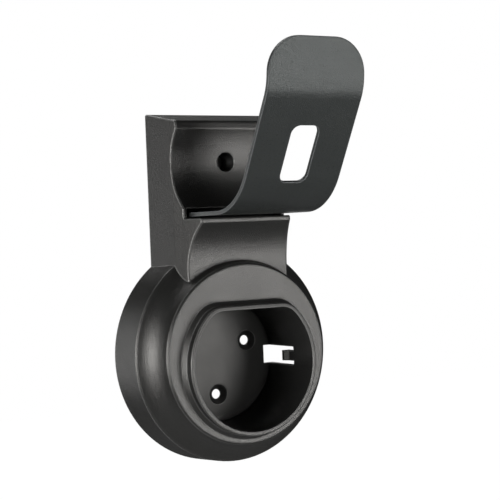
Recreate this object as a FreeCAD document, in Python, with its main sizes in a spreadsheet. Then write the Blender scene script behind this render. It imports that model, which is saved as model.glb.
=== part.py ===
import FreeCAD, Part
import math
import os
import types
import Sketcher

# Wall holder for the loose connector of an EV charging cable.
# Millimetres. X runs to the right, Y into the wall, Z up.
# The origin is the axis of the base ring, on the wall plane. Depth is measured from the wall, along -Y.

SIZES = {
    # connector nose and the socket that takes it
    "nose_radius": 28.1,
    "nose_flat": 22.1,
    "nose_corner": 8.6,
    "nose_clearance": 0.4,
    "socket_drop": 3.6,
    "socket_depth": 32.4,
    "socket_draft": 2.4,
    "floor_thickness": 2.5,
    "tube_wall": 1.7,
    "rim_height": 5.7,
    "rim_root": 1.8,
    "rim_edge": 0.5,
    # snap finger in the right socket wall
    "window_reach": 18.3,
    "window_height": 8.0,
    "window_notch": 3.4,
    "finger_length": 7.0,
    "finger_height": 4.4,
    "barb_height": 1.3,
    "barb_flat": 1.5,
    "barb_ramp": 1.9,
    # base ring, cove and hub
    "base_radius": 47.4,
    "base_draft": 3.8,
    "ring_depth": 17.2,
    "ring_edge": 0.7,
    "cove_radius": 15.0,
    "hub_radius": 38.0,
    "hub_edge": 0.9,
    "wall": 2.5,
    # column, saddle and neck
    "column_width": 58.3,
    "column_draft": 9.6,
    "neck_draft": 17.7,
    "column_height": 102.1,
    "top_slope": 11.7,
    "lip_depth": 20.0,
    "lip_height": 3.4,
    "saddle_radius": 30.6,
    "saddle_axis": 79.85,
    "saddle_depth": 16.7,
    "step_depth": 22.8,
    "shelf_height": 57.2,
    "neck_reach": 32.4,
    "neck_radius": 26.8,
    "neck_depth": 24.3,
    "neck_axis": 36.0,
    "lip_edge": 1.2,
    "soft_edge": 0.8,
    "side_edge": 0.45,
    "inner_edge": 0.6,
    # hook strip
    "strip_width": 43.6,
    "strip_thickness": 1.6,
    "strip_lift": 0.8,
    "slot_height": 4.2,
    "slot_clearance": 1.1,
    "slot_depth": 6.8,
    "tunnel_clearance": 0.3,
    "hook_reach": 45.3,
    "hook_bend": 26.0,
    "hook_lean": 30.2,
    "hook_rise": 33.5,
    "tip_bend": 18.4,
    "tip_lean": 6.7,
    "tip_length": 15.6,
    "tip_corner": 14.0,
    "hatch_width": 12.8,
    "hatch_length": 24.7,
    "hatch_start": -2.6,
    "hatch_corner": 3.7,
    "flange_depth": 7.0,
    "flange_length": 11.0,
    "flange_bend": 1.6,
    # screws that hold the strip, and their bosses
    "screw_inset": 9.8,
    "screw_drop": 6.5,
    "screw_core": 1.4,
    "screw_length": 12.0,
    "screw_head": 3.5,
    "screw_head_height": 2.3,
    "recess_reach": 1.9,
    "recess_half": 0.4,
    "recess_depth": 1.15,
    "screw_clearance": 0.25,
    "pilot_clearance": 0.05,
    "boss_radius": 3.7,
    # wall screws
    "mount_hole": 2.1,
    "mount_head": 4.4,
    "mount_spread": 30.3,
    "mount_rise": 3.3,
    "mount_low": 19.1,
    "saddle_hole": 80.7,
    "saddle_head": 4.15,
    "saddle_seat": 6.4,
    "saddle_boss": 6.4,
    "sink_angle": 49.0,
    # stiffening ribs
    "rib_thickness": 1.8,
    "rib_setback": 3.0,
    "rib_root": 5.6,
    "rib_turn": 60.0,
}
SLIVER = 0.1
SNAP = 0.02

doc = FreeCAD.newDocument("ev_connector_holder")
sheet = doc.addObject("Spreadsheet::Sheet", "Sizes")
for row, (alias, number) in enumerate(SIZES.items(), start=1):
    sheet.set(f"A{row}", alias.replace("_", " "))
    sheet.set(f"B{row}", str(number))
    sheet.setAlias(f"B{row}", alias)
doc.recompute()


class Size:
    """A number together with the spreadsheet formula that gives it."""

    def __init__(self, number, formula):
        self.number = number
        self.formula = formula

    def __neg__(self):
        return Size(-self.number, f"(-{self.formula})")

    def __add__(self, other):
        other = as_size(other)
        return Size(self.number + other.number, f"({self.formula} + {other.formula})")

    def __sub__(self, other):
        return self + -as_size(other)

    def __rsub__(self, other):
        return as_size(other) - self

    def __mul__(self, other):
        other = as_size(other)
        return Size(self.number * other.number, f"({self.formula} * {other.formula})")

    __rmul__ = __mul__

    def __truediv__(self, other):
        other = as_size(other)
        return Size(self.number / other.number, f"({self.formula} / {other.formula})")

    def squared(self):
        return self * self


def as_size(term):
    return term if isinstance(term, Size) else Size(float(term), f"({term})")


def root(term):
    return Size(math.sqrt(term.number), f"sqrt({term.formula})")


def sin_of(angle):
    return Size(math.sin(math.radians(angle.number)), f"sin({angle.formula})")


def cos_of(angle):
    return Size(math.cos(math.radians(angle.number)), f"cos({angle.formula})")


def tan_of(angle):
    return Size(math.tan(math.radians(angle.number)), f"tan({angle.formula})")


size = types.SimpleNamespace(**{
    alias: Size(number, f"Sizes.{alias}") for alias, number in SIZES.items()})

# Places that several pieces share.
SOCKET_RADIUS = size.nose_radius + size.nose_clearance
SOCKET_FLAT = size.nose_flat + size.nose_clearance
SOCKET_CORNER = size.nose_corner + size.nose_clearance
RIM_DEPTH = size.floor_thickness + size.socket_depth
HUB_DEPTH = RIM_DEPTH - size.rim_height
RING_FRONT = size.base_radius - size.ring_depth * tan_of(size.base_draft)
COLUMN_FOOT = SOCKET_FLAT + size.tube_wall - size.socket_drop
CREASE_HALF = size.column_width / 2 - size.ring_depth * tan_of(size.column_draft)
SADDLE_CENTRE = size.saddle_depth + size.saddle_radius
NECK_CENTRE = size.neck_depth + size.neck_radius
SLOT_TOP = size.shelf_height + size.slot_height
SLOT_HALF = size.strip_width / 2 + size.slot_clearance
STRIP_BOTTOM = size.shelf_height + size.strip_lift
STRIP_TOP = STRIP_BOTTOM + size.strip_thickness
FLANGE_FRONT = size.flange_depth + size.strip_thickness
TUNNEL_BACK = FLANGE_FRONT + size.flange_bend
SCREW_HEIGHT = STRIP_BOTTOM - size.screw_drop
SCREW_SIDE = size.strip_width / 2 - size.screw_inset
OUTSIDE = as_size(1)


def new_body(name):
    body = doc.addObject("PartDesign::Body", name)
    body.Label = name
    return body


def origin_item(body, role):
    return next(item for item in body.Origin.OriginFeatures if item.Role == role)


def sketch_on(body, name, role, offset=None):
    """Sketch on an origin plane of the body, moved along that plane's normal by a size."""
    sketch = body.newObject("Sketcher::SketchObject", name)
    sketch.AttachmentSupport = [(origin_item(body, role), "")]
    sketch.MapMode = "FlatFace"
    if offset:
        sketch.setExpression("AttachmentOffset.Base.z", offset.formula)
    doc.recompute()
    return sketch


def bind(sketch, kind, *terms):
    """Add a constraint whose last term is a size, and bind it to that size's formula."""
    size_term = as_size(terms[-1])
    index = sketch.addConstraint(Sketcher.Constraint(kind, *terms[:-1], size_term.number))
    sketch.setExpression(f"Constraints[{index}]", size_term.formula)


def pin_point(sketch, geometry, end, across, up):
    """Hold a point of a sketch at two sizes from its axes; 0 puts it on the axis."""
    for kind, axis, place in (("DistanceX", -2, across), ("DistanceY", -1, up)):
        if isinstance(place, Size):
            bind(sketch, kind, -1, 1, geometry, end, place)
        else:
            sketch.addConstraint(Sketcher.Constraint("PointOnObject", geometry, end, axis))


def place_at(across, up):
    return FreeCAD.Vector(as_size(across).number, as_size(up).number, 0)


def arc_between(start, end, radius, left):
    """Arc of a radius from start to end, with its centre to the left or right of that way."""
    chord = end - start
    middle = (start + end) * 0.5
    rise = math.sqrt(radius * radius - chord.Length * chord.Length / 4)
    side = FreeCAD.Vector(-chord.y, chord.x, 0).normalize() * (rise if left else -rise)
    centre = middle + side
    first, last = (start, end) if left else (end, start)
    angles = [math.atan2(p.y - centre.y, p.x - centre.x) for p in (first, last)]
    circle = Part.Circle(centre, FreeCAD.Vector(0, 0, 1), radius)
    return Part.ArcOfCircle(circle, angles[0], angles[1])


def outline(sketch, corners):
    """Closed outline. A corner is (across, up), or (across, up, radius, left) where an arc leaves it."""
    places = [place_at(corner[0], corner[1]) for corner in corners]
    ends = []
    for index, corner in enumerate(corners):
        start, end = places[index], places[(index + 1) % len(places)]
        if len(corner) == 4:
            shape = arc_between(start, end, corner[2].number, corner[3])
            ends.append((1, 2) if corner[3] else (2, 1))
        else:
            shape = Part.LineSegment(start, end)
            ends.append((1, 2))
        sketch.addGeometry(shape, False)
    for index, corner in enumerate(corners):
        follower = (index + 1) % len(corners)
        joint = Sketcher.Constraint("Coincident", index, ends[index][1], follower, ends[follower][0])
        sketch.addConstraint(joint)
        pin_point(sketch, index, ends[index][0], corner[0], corner[1])
        if len(corner) == 4:
            bind(sketch, "Radius", index, corner[2])
    doc.recompute()
    return sketch


def box_outline(sketch, left, right, low, high):
    return outline(sketch, [(left, low), (right, low), (right, high), (left, high)])


def circles(sketch, centres, radius):
    for across, up in centres:
        circle = Part.Circle(place_at(across, up), FreeCAD.Vector(0, 0, 1), radius.number)
        index = sketch.addGeometry(circle, False)
        pin_point(sketch, index, 3, across, up)
        bind(sketch, "Radius", index, radius)
    doc.recompute()
    return sketch


def nose_outline(sketch, grow):
    """Outline of the socket: a circle with a flat top and rounded corners, grown all round."""
    radius = SOCKET_RADIUS + grow
    flat = SOCKET_FLAT + grow
    corner = SOCKET_CORNER + grow
    centre_up = flat - corner
    centre_across = root((radius - corner).squared() - centre_up.squared())
    spread = radius / (radius - corner)
    touch_across = centre_across * spread
    touch_up = centre_up * spread - size.socket_drop
    top = flat - size.socket_drop
    # the large arc is drawn as two, left and right of its lowest point
    return outline(sketch, [
        (-centre_across, top, corner, True),
        (-touch_across, touch_up, radius, True),
        (0, -(radius + size.socket_drop), radius, True),
        (touch_across, touch_up, corner, True),
        (centre_across, top),
    ])


def finish(body, feature):
    """Recompute and make the feature the body's last one."""
    body.Tip = feature
    doc.recompute()
    return feature


def pad(body, name, sketch, length, midplane=False):
    feature = body.newObject("PartDesign::Pad", name)
    feature.Profile = sketch
    feature.setExpression("Length", length.formula)
    feature.Midplane = midplane
    return finish(body, feature)


def pocket(body, name, sketch, length=None, midplane=False, reverse=False, taper=None):
    """Cut that must take material away; with no length it goes through all."""
    before = body.Shape.Volume
    feature = body.newObject("PartDesign::Pocket", name)
    feature.Profile = sketch
    feature.Midplane = midplane
    feature.Reversed = reverse
    if length:
        feature.setExpression("Length", length.formula)
    else:
        feature.Type = "ThroughAll"
    if taper:
        feature.setExpression("TaperAngle", taper.formula)
    finish(body, feature)
    if feature.Shape.Volume > before - 0.01:
        raise RuntimeError(f"{name} cuts nothing")
    return feature


def revolve(body, name, sketch):
    feature = body.newObject("PartDesign::Revolution", name)
    feature.Profile = sketch
    feature.ReferenceAxis = (origin_item(body, "Y_Axis"), [""])
    feature.Angle = 360.0
    return finish(body, feature)


def edges_near(shape, test):
    """Names of the edges whose sampled inner points all pass a test on (x, depth, z)."""
    names = []
    for index, edge in enumerate(shape.Edges, start=1):
        if edge.Degenerated:
            continue
        if all(test(point.x, -point.y, point.z) for point in edge.discretize(9)[1:-1]):
            names.append(f"Edge{index}")
    return names


def soften(body, kind, name, amount, test):
    """Fillet or chamfer the edges that pass a test."""
    base = body.Tip
    names = edges_near(base.Shape, test)
    if not names:
        raise RuntimeError(f"{name} finds no edge")
    feature = body.newObject(f"PartDesign::{kind}", name)
    feature.Base = (base, names)
    feature.setExpression("Radius" if kind == "Fillet" else "Size", amount.formula)
    return finish(body, feature)


def crosswise(depth, height):
    """Test for an edge that runs straight along X at a depth and a height."""
    at_depth, at_height = as_size(depth).number, height.number
    return lambda x, d, z: abs(d - at_depth) < SNAP and abs(z - at_height) < SNAP


def level_with(depth, reach):
    """Test for an edge in the plane at a depth, within a reach of the base axis."""
    return lambda x, d, z: abs(d - depth.number) < SNAP and math.hypot(x, z) < reach.number


# Column: its side profile, grown or shrunk by an inset, then tapered in plan.
def column_sides(body, inset):
    """Pad the column's side profile across its width and take the tapers off its sides."""
    shrink = size.wall if inset else as_size(0)
    back = OUTSIDE if inset else 0
    saddle = size.saddle_radius + shrink
    neck = size.neck_radius + shrink
    lip = size.lip_depth - shrink
    step = size.step_depth - shrink
    shelf = size.shelf_height - shrink
    front = size.neck_reach - shrink
    top = size.column_height - shrink / cos_of(size.top_slope)
    lip_top = top - lip * tan_of(size.top_slope)
    lip_low = size.column_height - size.lip_depth * tan_of(size.top_slope) - size.lip_height
    saddle_top = SADDLE_CENTRE - root(saddle.squared() - (lip_low - size.saddle_axis).squared())
    saddle_foot = size.saddle_axis - root(saddle.squared() - (SADDLE_CENTRE - step).squared())
    shelf_arc = NECK_CENTRE - root(neck.squared() - (shelf - size.neck_axis).squared())
    front_arc = size.neck_axis + root(neck.squared() - (NECK_CENTRE - front).squared())
    foot = NECK_CENTRE - neck
    corners = [(back, COLUMN_FOOT), (back, top), (-lip, lip_top)]
    corners += [(-saddle_top, lip_low, saddle, False), (-step, saddle_foot)]
    corners += [(-step, shelf)]
    if inset:
        corners += [(-shelf_arc, shelf, neck, False)]
    else:
        corners += [(-front, shelf), (-front, front_arc, neck, False)]
    corners += [(-foot, size.neck_axis), (-foot, COLUMN_FOOT)]
    side = outline(sketch_on(body, f"{body.Name}_side", "YZ_Plane"), corners)
    pad(body, f"{body.Name}_column", side, size.column_width, midplane=True)
    if not inset:
        soften(body, "Fillet", "lip_rounding", size.lip_edge, crosswise(lip, lip_top))
        soften(body, "Fillet", "top_rounding", size.soft_edge, crosswise(0, top))
        soften(body, "Fillet", "lip_foot_rounding", size.soft_edge, crosswise(saddle_top, lip_low))
        soften(body, "Fillet", "saddle_foot_rounding", size.soft_edge, crosswise(step, saddle_foot))
        soften(body, "Fillet", "shelf_rounding", size.soft_edge, crosswise(front, shelf))
        soften(body, "Fillet", "shelf_foot_rounding", size.inner_edge, crosswise(front, front_arc))
        soften(body, "Fillet", "step_rounding", size.inner_edge, crosswise(step, shelf))

    back_half = size.column_width / 2 - shrink / cos_of(size.column_draft)
    crease_half = CREASE_HALF - shrink / cos_of((size.column_draft + size.neck_draft) / 2)
    far_half = crease_half - size.ring_depth * tan_of(size.neck_draft)
    behind = back_half + OUTSIDE * tan_of(size.column_draft)
    for name, side in (("left", -1), ("right", 1)):
        plan = sketch_on(body, f"{body.Name}_plan_{name}", "XY_Plane")
        outline(plan, [
            (side * behind, OUTSIDE),
            (side * crease_half, -size.ring_depth),
            (side * far_half, -2 * size.ring_depth),
            (side * size.column_width, -2 * size.ring_depth),
            (side * size.column_width, OUTSIDE),
        ])
        pocket(body, f"{body.Name}_taper_{name}", plan, midplane=True)
    if not inset:

        def on_side(x, d, z):
            past_crease = d - size.ring_depth.number
            slope_here = tan_of(size.column_draft if past_crease < 0 else size.neck_draft).number
            on_flank = abs(abs(x) - CREASE_HALF.number + past_crease * slope_here) < SNAP
            return on_flank and d > SNAP and abs(past_crease) > SNAP and z > COLUMN_FOOT.number + SNAP

        soften(body, "Chamfer", "side_bevel", size.side_edge, on_side)


# Core: the hollow that the mould's core leaves inside the housing.
core = new_body("housing_core")
column_sides(core, inset=True)

bowl = sketch_on(core, "core_bowl_outline", "XY_Plane")
ring_inner = size.base_radius - size.wall / cos_of(size.base_draft)
ring_behind = ring_inner + OUTSIDE * tan_of(size.base_draft)
bowl_shoulder = size.ring_depth - size.wall
bowl_shoulder_radius = ring_inner - bowl_shoulder * tan_of(size.base_draft)
bowl_front = HUB_DEPTH - size.wall
cove_inner_radius = (size.hub_radius + ring_inner) / 2 - size.wall
cove_inner_depth = (size.ring_depth + HUB_DEPTH) / 2 - size.wall
outline(bowl, [
    (0, OUTSIDE),
    (0, -bowl_front),
    (size.hub_radius - size.wall, -bowl_front),
    (cove_inner_radius, -cove_inner_depth),
    (bowl_shoulder_radius, -bowl_shoulder),
    (ring_behind, OUTSIDE),
])
revolve(core, "core_bowl", bowl)

tube = nose_outline(sketch_on(core, "tube_outline", "XZ_Plane", RIM_DEPTH), size.tube_wall)
pocket(core, "tube_space", tube)

saddle_boss = sketch_on(core, "saddle_boss_outline", "XZ_Plane", RIM_DEPTH)
pocket(core, "saddle_boss_space", circles(saddle_boss, [(0, size.saddle_hole)], size.saddle_boss))

boss_centres = [(-SCREW_SIDE, SCREW_HEIGHT), (SCREW_SIDE, SCREW_HEIGHT)]
bosses = sketch_on(core, "hook_boss_outline", "XZ_Plane", FLANGE_FRONT)
pocket(core, "hook_boss_space", circles(bosses, boss_centres, size.boss_radius), reverse=True)

tunnel_block = sketch_on(core, "tunnel_block_outline", "XZ_Plane", TUNNEL_BACK)
box_outline(tunnel_block, -size.column_width / 2, size.column_width / 2,
            size.shelf_height - size.wall, SLOT_TOP + size.wall)
pocket(core, "tunnel_block_space", tunnel_block, reverse=True)

shelf_rib = sketch_on(core, "saddle_rib_outline", "XZ_Plane", size.rib_setback)
box_outline(shelf_rib, -size.column_width / 2, size.column_width / 2,
            size.saddle_hole - size.rib_thickness / 2, size.saddle_hole + size.rib_thickness / 2)
pocket(core, "saddle_rib_space", shelf_rib, reverse=True)

for name, turn in (("low", as_size(0)), ("side", size.rib_turn)):
    ring_rib = sketch_on(core, f"ring_rib_{name}_outline", "XZ_Plane", size.rib_setback)
    ring_rib.setExpression("AttachmentOffset.Rotation.Angle", turn.formula)
    box_outline(ring_rib, -size.rib_thickness / 2, size.rib_thickness / 2,
                -(size.base_radius - size.wall / 2), -(size.nose_radius - size.rib_root))
    rib_space = pocket(core, f"ring_rib_{name}_space", ring_rib, reverse=True)
mirrored = core.newObject("PartDesign::Mirrored", "ring_rib_other_side_space")
mirrored.Originals = [rib_space]
mirrored.MirrorPlane = (origin_item(core, "YZ_Plane"), [""])
finish(core, mirrored)

# Housing: column, then base ring, cove and hub in one turn, then the rim.
housing = new_body("housing")
column_sides(housing, inset=False)

dome = sketch_on(housing, "ring_and_hub_outline", "XY_Plane")
outline(dome, [
    (0, 0),
    (0, -HUB_DEPTH),
    (size.hub_radius - size.hub_edge, -HUB_DEPTH),
    (size.hub_radius, -(HUB_DEPTH - size.hub_edge), size.cove_radius, False),
    (RING_FRONT - size.ring_edge, -size.ring_depth),
    (RING_FRONT, -(size.ring_depth - size.ring_edge)),
    (size.base_radius, 0),
])
revolve(housing, "ring_and_hub", dome)

rim = nose_outline(sketch_on(housing, "rim_outline", "XZ_Plane"), size.tube_wall)
pad(housing, "rim", rim, RIM_DEPTH)

face_radius = size.hub_radius - size.hub_edge - SLIVER
soften(housing, "Chamfer", "rim_root_bevel", size.rim_root, level_with(HUB_DEPTH, face_radius))
soften(housing, "Chamfer", "rim_bevel", size.rim_edge, level_with(RIM_DEPTH, size.hub_radius))

hollow = housing.newObject("PartDesign::Boolean", "hollow")
hollow.Type = "Cut"
hollow.setObjects([core])
finish(housing, hollow)

# Socket for the connector's nose, with a floor that carries the wall screws.
nose = nose_outline(sketch_on(housing, "socket_outline", "XZ_Plane", RIM_DEPTH), 0)
pocket(housing, "socket", nose, size.socket_depth, taper=-size.socket_draft)

# Window in the right socket wall, with a slot above and below a snap finger that is left standing.
tube_inner = SOCKET_RADIUS - size.socket_depth * tan_of(size.socket_draft)
window_low = -size.socket_drop - size.window_height / 2
window_high = -size.socket_drop + size.window_height / 2
finger_low = -size.socket_drop - size.finger_height / 2
finger_high = -size.socket_drop + size.finger_height / 2
window_inner = tube_inner - size.window_notch
window_outer = SOCKET_RADIUS + 3 * size.tube_wall
window_end = size.floor_thickness + size.window_reach
finger_tip = window_end - size.finger_length
window = sketch_on(housing, "window_outline", "XY_Plane", window_low)
box_outline(window, window_inner, window_outer, -finger_tip, OUTSIDE)
pocket(housing, "window", window, size.window_height, reverse=True)
for name, low, high in (("low", window_low, finger_low), ("high", finger_high, window_high)):
    gap = sketch_on(housing, f"finger_gap_{name}_outline", "XY_Plane", low)
    box_outline(gap, window_inner, window_outer, -window_end, -(finger_tip - SLIVER))
    pocket(housing, f"finger_gap_{name}", gap, high - low, reverse=True)

barb = sketch_on(housing, "barb_outline", "XY_Plane", finger_low)
finger_root = SOCKET_RADIUS - (RIM_DEPTH - finger_tip) * tan_of(size.socket_draft)
outline(barb, [
    (finger_root + size.tube_wall / 2, -finger_tip),
    (finger_root + size.tube_wall / 2, -(finger_tip + size.barb_flat + size.barb_ramp)),
    (finger_root + SLIVER, -(finger_tip + size.barb_flat + size.barb_ramp)),
    (finger_root - size.barb_height, -(finger_tip + size.barb_flat)),
    (finger_root - size.barb_height, -finger_tip),
])
pad(housing, "barb", barb, size.finger_height)

# Countersunk wall screw holes in the socket floor and a deep one in the saddle.
floor_holes = [
    (-size.mount_spread / 2, size.mount_rise),
    (size.mount_spread / 2, size.mount_rise),
    (0, -size.mount_low),
]
floor_front = sketch_on(housing, "floor_hole_centres", "XZ_Plane", size.floor_thickness)
pocket(housing, "floor_bores", circles(floor_front, floor_holes, size.mount_hole))
sink = sketch_on(housing, "countersink_outline", "XZ_Plane", size.floor_thickness)
pocket(housing, "countersinks", circles(sink, floor_holes, size.mount_head),
       (size.mount_head - size.mount_hole) / tan_of(size.sink_angle), taper=-size.sink_angle)

saddle_bore = sketch_on(housing, "saddle_bore_outline", "XZ_Plane", RIM_DEPTH)
pocket(housing, "saddle_bore", circles(saddle_bore, [(0, size.saddle_hole)], size.mount_hole))
saddle_sink = sketch_on(housing, "saddle_seat_outline", "XZ_Plane", size.saddle_seat)
pocket(housing, "saddle_seat_bore", circles(saddle_sink, [(0, size.saddle_hole)], size.saddle_head),
       reverse=True)

# Slot for the hook strip in the step, a close tunnel behind it, and pilot holes for the strip's screws.
slot = sketch_on(housing, "slot_outline", "XZ_Plane", RIM_DEPTH)
box_outline(slot, -SLOT_HALF, SLOT_HALF, size.shelf_height, SLOT_TOP)
pocket(housing, "slot", slot, RIM_DEPTH - (size.step_depth - size.slot_depth))

tunnel = sketch_on(housing, "tunnel_outline", "XZ_Plane", size.step_depth)
tunnel_half = size.strip_width / 2 + size.tunnel_clearance
box_outline(tunnel, -tunnel_half, tunnel_half, STRIP_BOTTOM, STRIP_TOP)
pocket(housing, "tunnel", tunnel, size.step_depth - TUNNEL_BACK)

pilots = sketch_on(housing, "pilot_outline", "XZ_Plane", FLANGE_FRONT)
pocket(housing, "pilots", circles(pilots, boss_centres, size.screw_core + size.pilot_clearance),
       size.screw_length, reverse=True)

# Hook strip: side profile of the bent strip, then its outline and hatch.
hook = new_body("hook_plate")
bend_turn = 90 - size.hook_lean
outer_bend = size.hook_bend + size.strip_thickness
outer_tip_bend = size.tip_bend + size.strip_thickness
outer_flange = size.flange_bend + size.strip_thickness
rise_depth = size.hook_reach + outer_bend * sin_of(bend_turn)
rise_height = STRIP_BOTTOM + outer_bend * (1 - cos_of(bend_turn))
tip_depth = rise_depth + size.hook_rise * sin_of(size.hook_lean)
tip_height = rise_height + size.hook_rise * cos_of(size.hook_lean)
end_depth = tip_depth + outer_tip_bend * (cos_of(size.tip_lean) - cos_of(size.hook_lean))
end_height = tip_height + outer_tip_bend * (sin_of(size.hook_lean) - sin_of(size.tip_lean))
top_depth = end_depth + size.tip_length * sin_of(size.tip_lean)
top_height = end_height + size.tip_length * cos_of(size.tip_lean)
flange_low = STRIP_BOTTOM - size.flange_length


def inward(depth, height, angle):
    """The same place on the inner face of the strip, where it leans by an angle."""
    return (-(depth - size.strip_thickness * cos_of(angle)),
            height + size.strip_thickness * sin_of(angle))


strip = sketch_on(hook, "strip_side", "YZ_Plane")
outline(strip, [
    (-FLANGE_FRONT, flange_low),
    (-FLANGE_FRONT, STRIP_BOTTOM - size.flange_bend, size.flange_bend, True),
    (-(FLANGE_FRONT + size.flange_bend), STRIP_BOTTOM),
    (-size.hook_reach, STRIP_BOTTOM, outer_bend, False),
    (-rise_depth, rise_height),
    (-tip_depth, tip_height, outer_tip_bend, False),
    (-end_depth, end_height),
    (-top_depth, top_height),
    inward(top_depth, top_height, size.tip_lean),
    (*inward(end_depth, end_height, size.tip_lean), size.tip_bend, True),
    inward(tip_depth, tip_height, size.hook_lean),
    (*inward(rise_depth, rise_height, size.hook_lean), size.hook_bend, True),
    (-size.hook_reach, STRIP_TOP),
    (-(FLANGE_FRONT + size.flange_bend), STRIP_TOP, outer_flange, False),
    (-size.flange_depth, STRIP_BOTTOM - size.flange_bend),
    (-size.flange_depth, flange_low),
])
pad(hook, "strip", strip, size.strip_width, midplane=True)


def at_tip_corner(x, d, z):
    return abs(abs(x) - size.strip_width.number / 2) < SNAP and z > top_height.number - SNAP


soften(hook, "Fillet", "tip_corners", size.tip_corner, at_tip_corner)

hatch = sketch_on(hook, "hatch_outline", "XZ_Plane")
leaning_back = FreeCAD.Rotation(FreeCAD.Vector(1, 0, 0), size.hook_lean.number)
hatch.AttachmentOffset = FreeCAD.Placement(FreeCAD.Vector(0, 0, 0), leaning_back)
hatch.setExpression("AttachmentOffset.Base.y", rise_height.formula)
hatch.setExpression("AttachmentOffset.Base.z", rise_depth.formula)
hatch.setExpression("AttachmentOffset.Rotation.Angle", size.hook_lean.formula)
doc.recompute()
hatch_half = size.hatch_width / 2
hatch_inner = size.hatch_width / 2 - size.hatch_corner
hatch_end = size.hatch_start + size.hatch_length
outline(hatch, [
    (-hatch_inner, size.hatch_start),
    (hatch_inner, size.hatch_start, size.hatch_corner, True),
    (hatch_half, size.hatch_start + size.hatch_corner),
    (hatch_half, hatch_end - size.hatch_corner, size.hatch_corner, True),
    (hatch_inner, hatch_end),
    (-hatch_inner, hatch_end, size.hatch_corner, True),
    (-hatch_half, hatch_end - size.hatch_corner),
    (-hatch_half, size.hatch_start + size.hatch_corner, size.hatch_corner, True),
])
pocket(hook, "hatch", hatch, 4 * size.strip_thickness)

flange_holes = sketch_on(hook, "flange_hole_outline", "XZ_Plane", FLANGE_FRONT)
pocket(hook, "flange_holes",
       circles(flange_holes, boss_centres, size.screw_core + size.screw_clearance), 2 * size.strip_thickness)

# Pan head screws: turned profile along -Y from the seat under the head, then a cross recess.
for label, side in (("hook_screw_left", -1), ("hook_screw_right", 1)):
    screw = new_body(label)
    turned = sketch_on(screw, f"{label}_profile", "XY_Plane")
    outline(turned, [
        (0, size.screw_head_height),
        (0, -size.screw_length),
        (size.screw_core, -(size.screw_length - size.screw_core)),
        (size.screw_core, 0),
        (size.screw_head, 0),
        (size.screw_head, size.screw_head_height / 3),
        (size.recess_reach + size.recess_half, size.screw_head_height),
    ])
    revolve(screw, f"{label}_turned", turned)
    recess_floor = -(size.screw_head_height - size.recess_depth)
    bars = (("bar", size.recess_reach, size.recess_half), ("post", size.recess_half, size.recess_reach))
    for name, wide, tall in bars:
        cross = sketch_on(screw, f"{label}_recess_{name}_outline", "XZ_Plane", recess_floor)
        box_outline(cross, -wide, wide, -tall, tall)
        pocket(screw, f"{label}_recess_{name}", cross)
    screw.setExpression("Placement.Base.x", (side * SCREW_SIDE).formula)
    screw.setExpression("Placement.Base.y", (-size.flange_depth).formula)
    screw.setExpression("Placement.Base.z", SCREW_HEIGHT.formula)
doc.recompute()

for item in doc.Objects:
    if "Invalid" in item.State or "Error" in item.State:
        raise RuntimeError(f"{item.Name} did not build")
bodies = [item for item in doc.Objects if item.TypeId == "PartDesign::Body" and item is not core]
for body in bodies:
    if body.Shape.isNull() or not body.Shape.isValid():
        raise RuntimeError(f"{body.Label} has no valid shape")
os.makedirs("parts", exist_ok=True)
for body in bodies:
    body.Shape.exportStep(f"parts/{body.Label}.step")
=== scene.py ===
from math import cos, pi, radians, sin

import bpy
from mathutils import Matrix, Vector


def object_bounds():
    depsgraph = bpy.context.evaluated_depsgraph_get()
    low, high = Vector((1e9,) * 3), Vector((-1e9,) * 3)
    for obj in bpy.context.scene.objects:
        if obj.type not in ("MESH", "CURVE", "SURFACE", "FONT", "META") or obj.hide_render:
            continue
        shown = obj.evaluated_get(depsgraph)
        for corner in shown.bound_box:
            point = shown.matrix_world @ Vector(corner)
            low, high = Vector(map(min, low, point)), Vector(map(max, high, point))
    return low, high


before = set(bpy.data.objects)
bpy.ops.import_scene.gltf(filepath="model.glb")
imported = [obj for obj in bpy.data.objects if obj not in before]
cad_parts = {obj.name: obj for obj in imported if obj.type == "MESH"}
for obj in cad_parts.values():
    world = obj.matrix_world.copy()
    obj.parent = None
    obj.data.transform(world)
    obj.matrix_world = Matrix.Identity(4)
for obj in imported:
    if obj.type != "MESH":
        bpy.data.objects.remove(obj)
cad_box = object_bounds()

# Wall holder for an EV charging connector. Lengths are metres in the CAD frame: X to the right,
# Y into the wall, Z up. Azimuth 0 is the front and 90 the right side. Colours are linear, with alpha.
MM = 0.001
WHITE = (1, 1, 1, 1)
OBJECT_CENTRE = (Vector(cad_box[0]) + Vector(cad_box[1])) / 2

# The photograph's camera: a square frame, with the place solved from the round edges.
# The sensor is in Blender's millimetres.
IMAGE_PIXELS = 500
FOCAL_PIXELS = 1396.1
SENSOR_WIDTH = 36.0
CAMERA_PLACE = Vector((-297.6, -528.8, 51.5)) * MM
CAMERA_AZIMUTH = radians(-31.02)
CAMERA_ELEVATION = radians(0.82)
CAMERA_ROLL = radians(-2.28)

# The white backdrop stands behind the holder and to its right. Gloss sees all of it within the
# core, counted as an angle from its middle, and none past the edge. The rest of the room is dim.
BACKDROP_AZIMUTH = radians(149)
BACKDROP_CORE = radians(2)
BACKDROP_EDGE = radians(16)
ROOM_LIGHT = 0.02

# The floor lies well below the holder. Its glow rises with the distance from its middle.
FLOOR_DROP = 0.8
FLOOR_SIZE = 12.0
GLOW_START = 0.4
GLOW_END = 1.6
GLOW_LEAST = 0.65
PAPER_COLOUR = (0.35, 0.35, 0.35, 1)

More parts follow.
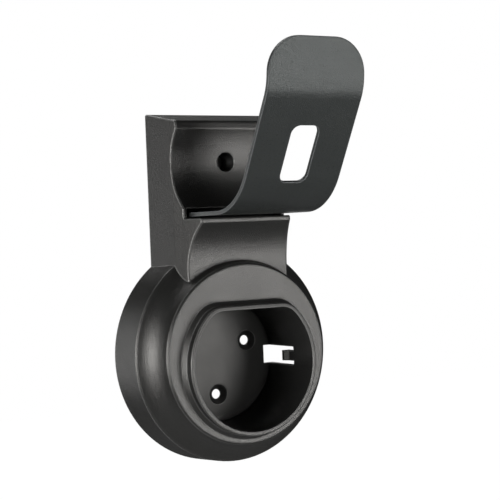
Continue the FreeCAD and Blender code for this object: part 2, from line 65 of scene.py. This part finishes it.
# Softboxes: name, azimuth and elevation in degrees, width and height in metres, brightness.
LAMP_DISTANCE = 1.3
SOFTBOXES = [
    ("key_right", 31, 0, 0.42, 0.30, 18.5),
    ("low_right", 31, -21, 0.45, 0.18, 25.0),
    ("front", 4, -2, 0.30, 0.56, 5.0),
    ("side_left", -78, -3, 0.76, 0.60, 15.0),
    ("side_rear", -108, 0, 0.20, 0.60, 3.0),
    ("rear_left", -152, -3, 0.50, 0.80, 1.9),
    ("rear_top", 175, 58, 0.70, 0.50, 7.0),
]

# Nearly all of a noise pattern lies between these two values.
NOISE_LOW = 0.3
NOISE_HIGH = 0.7

# Edge and crease masks of all materials. They carry wear and a painted highlight on edges, and painted
# shade in creases.
# An edge is told by the cosine between the true normal and the rounded one, and open places and creases
# by how much of the air around a point is free.
EDGE_MASK_SAMPLES = 8
CREASE_REACH = 3 * MM
EDGE_START = 0.999
EDGE_FULL = 0.88
OPEN_START = 0.6
OPEN_FULL = 0.85
CREASE_START = 0.78
CREASE_FULL = 0.42


def direction(azimuth, elevation):
    """Unit vector from the holder towards an azimuth and an elevation."""
    return Vector((
        sin(azimuth) * cos(elevation),
        -cos(azimuth) * cos(elevation),
        sin(elevation),
    ))


def add_camera():
    """Camera at the photograph's place, looking along its azimuth and turned by its roll."""
    back = direction(CAMERA_AZIMUTH, CAMERA_ELEVATION)
    level = (-back).cross(Vector((0, 0, 1))).normalized()
    upright = level.cross(-back)
    across = cos(CAMERA_ROLL) * level + sin(CAMERA_ROLL) * upright
    up = cos(CAMERA_ROLL) * upright - sin(CAMERA_ROLL) * level
    data = bpy.data.cameras.new("photo_camera")
    data.sensor_width = SENSOR_WIDTH
    data.lens = FOCAL_PIXELS / IMAGE_PIXELS * SENSOR_WIDTH
    camera = bpy.data.objects.new("photo_camera", data)
    turn = Matrix((across, up, back)).transposed().to_4x4()
    camera.matrix_world = Matrix.Translation(CAMERA_PLACE) @ turn
    bpy.context.scene.collection.objects.link(camera)
    bpy.context.scene.camera = camera


class Nodes:
    """A node tree that is built node by node."""

    def __init__(self, tree):
        self.tree = tree
        self.tree.nodes.clear()

    def add(self, kind, **inputs):
        """New node. Inputs are named, with an underscore for each space."""
        node = self.tree.nodes.new(f"ShaderNode{kind}")
        for name, given in inputs.items():
            self.feed(node.inputs[name.replace("_", " ")], given)
        return node

    def feed(self, socket, given):
        """Links an output to the socket, or sets the socket's own value."""
        if isinstance(given, bpy.types.NodeSocket):
            self.tree.links.new(given, socket)
        else:
            socket.default_value = given

    def math(self, operation, first, second):
        node = self.add("Math")
        node.operation = operation
        self.feed(node.inputs[0], first)
        self.feed(node.inputs[1], second)
        return node.outputs[0]

    def vector(self, operation, first, second=(0, 0, 0), output="Vector"):
        node = self.add("VectorMath")
        node.operation = operation
        self.feed(node.inputs[0], first)
        self.feed(node.inputs[1], second)
        return node.outputs[output]

    def dot(self, first, second):
        return self.vector("DOT_PRODUCT", first, second, "Value")

    def length(self, vector):
        return self.vector("LENGTH", vector, output="Value")

    def between(self, given, start, end, to_start=0.0, to_end=1.0):
        """Even change from to_start to to_end while the given value goes from start to end."""
        node = self.add("MapRange", Value=given)
        node.inputs["From Min"].default_value = start
        node.inputs["From Max"].default_value = end
        node.inputs["To Min"].default_value = to_start
        node.inputs["To Max"].default_value = to_end
        return node.outputs["Result"]

    def shift(self, given, mask, amount):
        """The given value, raised by the amount where the mask is 1."""
        return self.math("ADD", given, self.math("MULTIPLY", mask, amount))

    def place(self):
        """A point's place in the object's own frame."""
        return self.add("TexCoord").outputs["Object"]

    def noise(self, place, size, detail):
        """Cloudy pattern whose spots are about as wide as the size."""
        node = self.add("TexNoise", Vector=place, Scale=1 / size, Detail=detail)
        return node.outputs["Fac"]

    def blend(self, mask, first, second):
        """The first colour where the mask is 0 and the second where it is 1."""
        return self.add("MixRGB", Fac=mask, Color1=first, Color2=second).outputs[0]

    def edge_and_crease_masks(self, radius):
        """The normal with its edges rounded, how far a point lies on a raised edge, and in a crease."""
        bevel = self.add("Bevel", Radius=radius)
        bevel.samples = EDGE_MASK_SAMPLES
        rounded = bevel.outputs[0]
        flat = self.add("NewGeometry").outputs["Normal"]
        edge = self.between(self.dot(rounded, flat), EDGE_START, EDGE_FULL)
        around = self.add("AmbientOcclusion", Distance=CREASE_REACH)
        around.samples = EDGE_MASK_SAMPLES
        free_air = around.outputs["AO"]
        raised = self.math("MULTIPLY", edge, self.between(free_air, OPEN_START, OPEN_FULL))
        crease = self.between(free_air, CREASE_START, CREASE_FULL)
        return rounded, raised, crease

    def bump(self, height, normal, depth, strength=1.0):
        """The normal, tilted by a relief of this depth."""
        node = self.add("Bump", Strength=strength, Distance=depth, Height=height, Normal=normal)
        return node.outputs[0]

    def surface(self, **inputs):
        """The material's surface, as one principled shader."""
        shader = self.add("BsdfPrincipled", **inputs)
        self.add("OutputMaterial", Surface=shader.outputs[0])


def new_material(name):
    material = bpy.data.materials.new(name)
    material.use_nodes = True
    return material, Nodes(material.node_tree)


# The housing's plastic. Roughness is given as its smoothest and its roughest value.
PLASTIC_DARK = (0.0085, 0.0085, 0.0082, 1)
PLASTIC_LIGHT = (0.0125, 0.0125, 0.0120, 1)
# Edge colour: partly wear, partly a painted highlight along the edges.
PLASTIC_WORN_HIGHLIGHT = (0.190, 0.190, 0.185, 1)
# Painted shade for the creases.
PLASTIC_CREASE_SHADE = (0.004, 0.004, 0.004, 1)
PLASTIC_GLOSS_TINT = (1.0, 0.98, 0.945, 1)
PLASTIC_ROUGHNESS = (0.27, 0.40)
PLASTIC_EDGE_RADIUS = 0.9 * MM
GRAIN_SIZE = 0.4 * MM
GRAIN_DEPTH = 0.12 * MM
FLOW_SIZE = 16 * MM

# Edges take wear and a painted highlight by this share where the flow pattern is low, and fully from
# this value of it on.
WORN_HIGHLIGHT_LEAST = 0.5
WORN_HIGHLIGHT_FULL_AT = 0.6

# Rubbed edges are smoother by this roughness, and creases and the socket's inside are rougher.
RUBBED_POLISH = 0.12
CREASE_DULLNESS = 0.50
SOCKET_DULLNESS = 0.17

# The inside of the socket: its round wall and its flat top, both with a little to spare, and the
# share of the grain's depth that is left there.
SOCKET_RADIUS = 28.9 * MM
SOCKET_FLAT = 23.0 * MM
SOCKET_FADE = 0.5 * MM
SOCKET_GRAIN = 0.35


def inside_socket(nodes, place):
    """1 inside the socket, which is round with a flat top, and 0 outside it."""
    from_axis = nodes.length(nodes.vector("MULTIPLY", place, (1, 0, 1)))
    height = nodes.dot(place, (0, 0, 1))
    round_part = nodes.between(from_axis, SOCKET_RADIUS, SOCKET_RADIUS - SOCKET_FADE)
    flat_part = nodes.between(height, SOCKET_FLAT, SOCKET_FLAT - SOCKET_FADE)
    return nodes.math("MULTIPLY", round_part, flat_part)


def grained_plastic():
    """Dark moulded plastic: fine spark-eroded grain, uneven gloss, worn edges with a painted highlight,
    and dull creases darkened by painted shade.

    Edges are worn and highlighted in patches. Inside the socket the grain is flatter and the plastic
    duller.
    """
    material, nodes = new_material("housing_plastic")
    place = nodes.place()
    inside = inside_socket(nodes, place)
    grain = nodes.noise(place, GRAIN_SIZE, detail=3)
    flow = nodes.noise(place, FLOW_SIZE, detail=3)
    rounded, raised, crease = nodes.edge_and_crease_masks(PLASTIC_EDGE_RADIUS)
    patches = nodes.between(flow, NOISE_LOW, WORN_HIGHLIGHT_FULL_AT, WORN_HIGHLIGHT_LEAST, 1.0)
    wear_and_highlight = nodes.math("MULTIPLY", raised, patches)
    tone = nodes.blend(flow, PLASTIC_DARK, PLASTIC_LIGHT)
    # Edges are lightened: partly wear, partly a painted highlight.
    tone = nodes.blend(wear_and_highlight, tone, PLASTIC_WORN_HIGHLIGHT)
    # Painted shade darkens the creases.
    tone = nodes.blend(crease, tone, PLASTIC_CREASE_SHADE)
    relief = nodes.math("MULTIPLY", grain, nodes.between(inside, 0, 1, 1.0, SOCKET_GRAIN))
    mottle = nodes.math("ADD", grain, flow)
    roughness = nodes.between(mottle, 2 * NOISE_LOW, 2 * NOISE_HIGH, *PLASTIC_ROUGHNESS)
    roughness = nodes.shift(roughness, wear_and_highlight, -RUBBED_POLISH)
    roughness = nodes.shift(roughness, crease, CREASE_DULLNESS)
    roughness = nodes.shift(roughness, inside, SOCKET_DULLNESS)
    nodes.surface(
        Base_Color=tone,
        Roughness=roughness,
        Specular_Tint=PLASTIC_GLOSS_TINT,
        Normal=nodes.bump(relief, rounded, GRAIN_DEPTH),
    )
    return material


# The hook's powder coat. Its gloss level would be 0.5 if it were plain plastic.
COAT_DARK = (0.020, 0.022, 0.0215, 1)
COAT_LIGHT = (0.026, 0.028, 0.0275, 1)
# Edge colour: partly wear, partly a painted highlight along the edges.
COAT_WORN_HIGHLIGHT = (0.110, 0.113, 0.116, 1)
# Painted shade for the creases.
COAT_CREASE_SHADE = (0.006, 0.006, 0.006, 1)
COAT_GLOSS_TINT = (0.954, 1.0, 0.977, 1)
COAT_GLOSS_LEVEL = 0.24
COAT_ROUGHNESS = (0.26, 0.35)
COAT_EDGE_RADIUS = 0.8 * MM
SAND_SIZE = 0.4 * MM
SAND_DEPTH = 0.09 * MM
CLOUD_SIZE = 20 * MM


def powder_coat():
    """Satin powder coat on sheet steel: sandy texture, thin along the cut edges, which are lighter by
    wear and a painted highlight, and painted shade in creases.
    """
    material, nodes = new_material("hook_coating")
    place = nodes.place()
    sand = nodes.noise(place, SAND_SIZE, detail=4)
    clouds = nodes.noise(place, CLOUD_SIZE, detail=2)
    rounded, raised, crease = nodes.edge_and_crease_masks(COAT_EDGE_RADIUS)
    tone = nodes.blend(clouds, COAT_DARK, COAT_LIGHT)
    # Edges are lightened: partly wear, partly a painted highlight.
    tone = nodes.blend(raised, tone, COAT_WORN_HIGHLIGHT)
    # Painted shade darkens the creases.
    tone = nodes.blend(crease, tone, COAT_CREASE_SHADE)
    nodes.surface(
        Base_Color=tone,
        Roughness=nodes.between(sand, NOISE_LOW, NOISE_HIGH, *COAT_ROUGHNESS),
        Specular_IOR_Level=COAT_GLOSS_LEVEL,
        Specular_Tint=COAT_GLOSS_TINT,
        Normal=nodes.bump(sand, rounded, SAND_DEPTH),
    )
    return material


# The screws' zinc plating.
ZINC_DARK = (0.48, 0.49, 0.51, 1)
ZINC_LIGHT = (0.62, 0.62, 0.61, 1)
ZINC_RUBBED = (0.70, 0.70, 0.69, 1)
# Painted shade for the creases.
ZINC_CREASE_SHADE = (0.30, 0.30, 0.30, 1)
ZINC_ROUGHNESS = (0.22, 0.38)
ZINC_EDGE_RADIUS = 0.15 * MM
SPANGLE_SIZE = 1.4 * MM
SPANGLE_DEPTH = 0.01 * MM
SPANGLE_STRENGTH = 0.2


def zinc():
    """Bright zinc plating with fine spangle, dull patches, worn edges and painted shade in creases."""
    material, nodes = new_material("screw_steel")
    spangle = nodes.noise(nodes.place(), SPANGLE_SIZE, detail=3)
    rounded, raised, crease = nodes.edge_and_crease_masks(ZINC_EDGE_RADIUS)
    tone = nodes.blend(spangle, ZINC_DARK, ZINC_LIGHT)
    tone = nodes.blend(raised, tone, ZINC_RUBBED)
    # Painted shade darkens the creases.
    tone = nodes.blend(crease, tone, ZINC_CREASE_SHADE)
    nodes.surface(
        Base_Color=tone,
        Metallic=1.0,
        Roughness=nodes.between(spangle, NOISE_LOW, NOISE_HIGH, *ZINC_ROUGHNESS),
        Normal=nodes.bump(spangle, rounded, SPANGLE_DEPTH, SPANGLE_STRENGTH),
    )
    return material


def dress(node_names, material):
    """Gives the named nodes the material, and nothing else."""
    for name in node_names:
        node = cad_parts[name]
        node.data.materials.clear()
        node.data.materials.append(material)


def backdrop_shown(nodes, outward):
    """1 for the camera all round, and for gloss where the backdrop stands.

    Outward is the unit vector from the holder to the point that is seen.
    """
    path = nodes.add("LightPath").outputs
    ahead = nodes.dot(outward, direction(BACKDROP_AZIMUTH, 0))
    backdrop = nodes.between(ahead, cos(BACKDROP_EDGE), cos(BACKDROP_CORE))
    mirrored = nodes.math("MAXIMUM", path["Is Glossy Ray"], path["Is Transmission Ray"])
    return nodes.math("MAXIMUM", path["Is Camera Ray"], nodes.math("MULTIPLY", mirrored, backdrop))


def white_paper():
    """Pale paper that the camera sees as white, and that keeps the holder's shadow."""
    material, nodes = new_material("white_paper")
    place = nodes.place()
    outward = nodes.vector("NORMALIZE", nodes.vector("SUBTRACT", place, (0, 0, FLOOR_DROP)))
    shown = backdrop_shown(nodes, outward)
    glow = nodes.between(nodes.length(place), GLOW_START, GLOW_END, GLOW_LEAST, 1.0)
    paper = nodes.add("BsdfDiffuse", Color=PAPER_COLOUR)
    lift = nodes.add("Emission", Color=WHITE, Strength=nodes.math("MULTIPLY", shown, glow))
    both = nodes.add("AddShader")
    nodes.feed(both.inputs[0], paper.outputs[0])
    nodes.feed(both.inputs[1], lift.outputs[0])
    nodes.add("OutputMaterial", Surface=both.outputs[0])
    return material


def add_floor():
    """Square floor of white paper below the holder."""
    half = FLOOR_SIZE / 2
    corners = [(-half, -half, 0), (half, -half, 0), (half, half, 0), (-half, half, 0)]
    mesh = bpy.data.meshes.new("floor")
    mesh.from_pydata(corners, [], [(0, 1, 2, 3)])
    mesh.materials.append(white_paper())
    floor = bpy.data.objects.new("floor", mesh)
    floor.location.z = cad_box[0][2] - FLOOR_DROP
    bpy.context.scene.collection.objects.link(floor)


def add_softbox(name, azimuth, elevation, width, height, brightness):
    """Rectangular lamp that faces the holder. Brightness is that of its surface, where white is 1."""
    toward = direction(radians(azimuth), radians(elevation))
    data = bpy.data.lights.new(name, "AREA")
    data.shape = "RECTANGLE"
    data.size = width
    data.size_y = height
    data.energy = brightness * width * height * pi
    lamp = bpy.data.objects.new(name, data)
    lamp.location = OBJECT_CENTRE + toward * LAMP_DISTANCE
    lamp.rotation_euler = toward.to_track_quat("Z", "Y").to_euler()
    bpy.context.scene.collection.objects.link(lamp)


def light_world():
    """Dim room whose backdrop is white for the camera and for gloss."""
    world = bpy.data.worlds.new("studio")
    bpy.context.scene.world = world
    world.use_nodes = True
    nodes = Nodes(world.node_tree)
    shown = backdrop_shown(nodes, nodes.add("TexCoord").outputs["Generated"])
    sky = nodes.add("Background", Color=WHITE, Strength=nodes.math("MAXIMUM", shown, ROOM_LIGHT))
    nodes.add("OutputWorld", Surface=sky.outputs[0])


add_camera()
add_floor()
light_world()
for softbox in SOFTBOXES:
    add_softbox(*softbox)
dress(["housing"], grained_plastic())
dress(["hook_plate"], powder_coat())
dress(["hook_screw_left", "hook_screw_right"], zinc())
bpy.context.scene.view_settings.view_transform = "Standard"
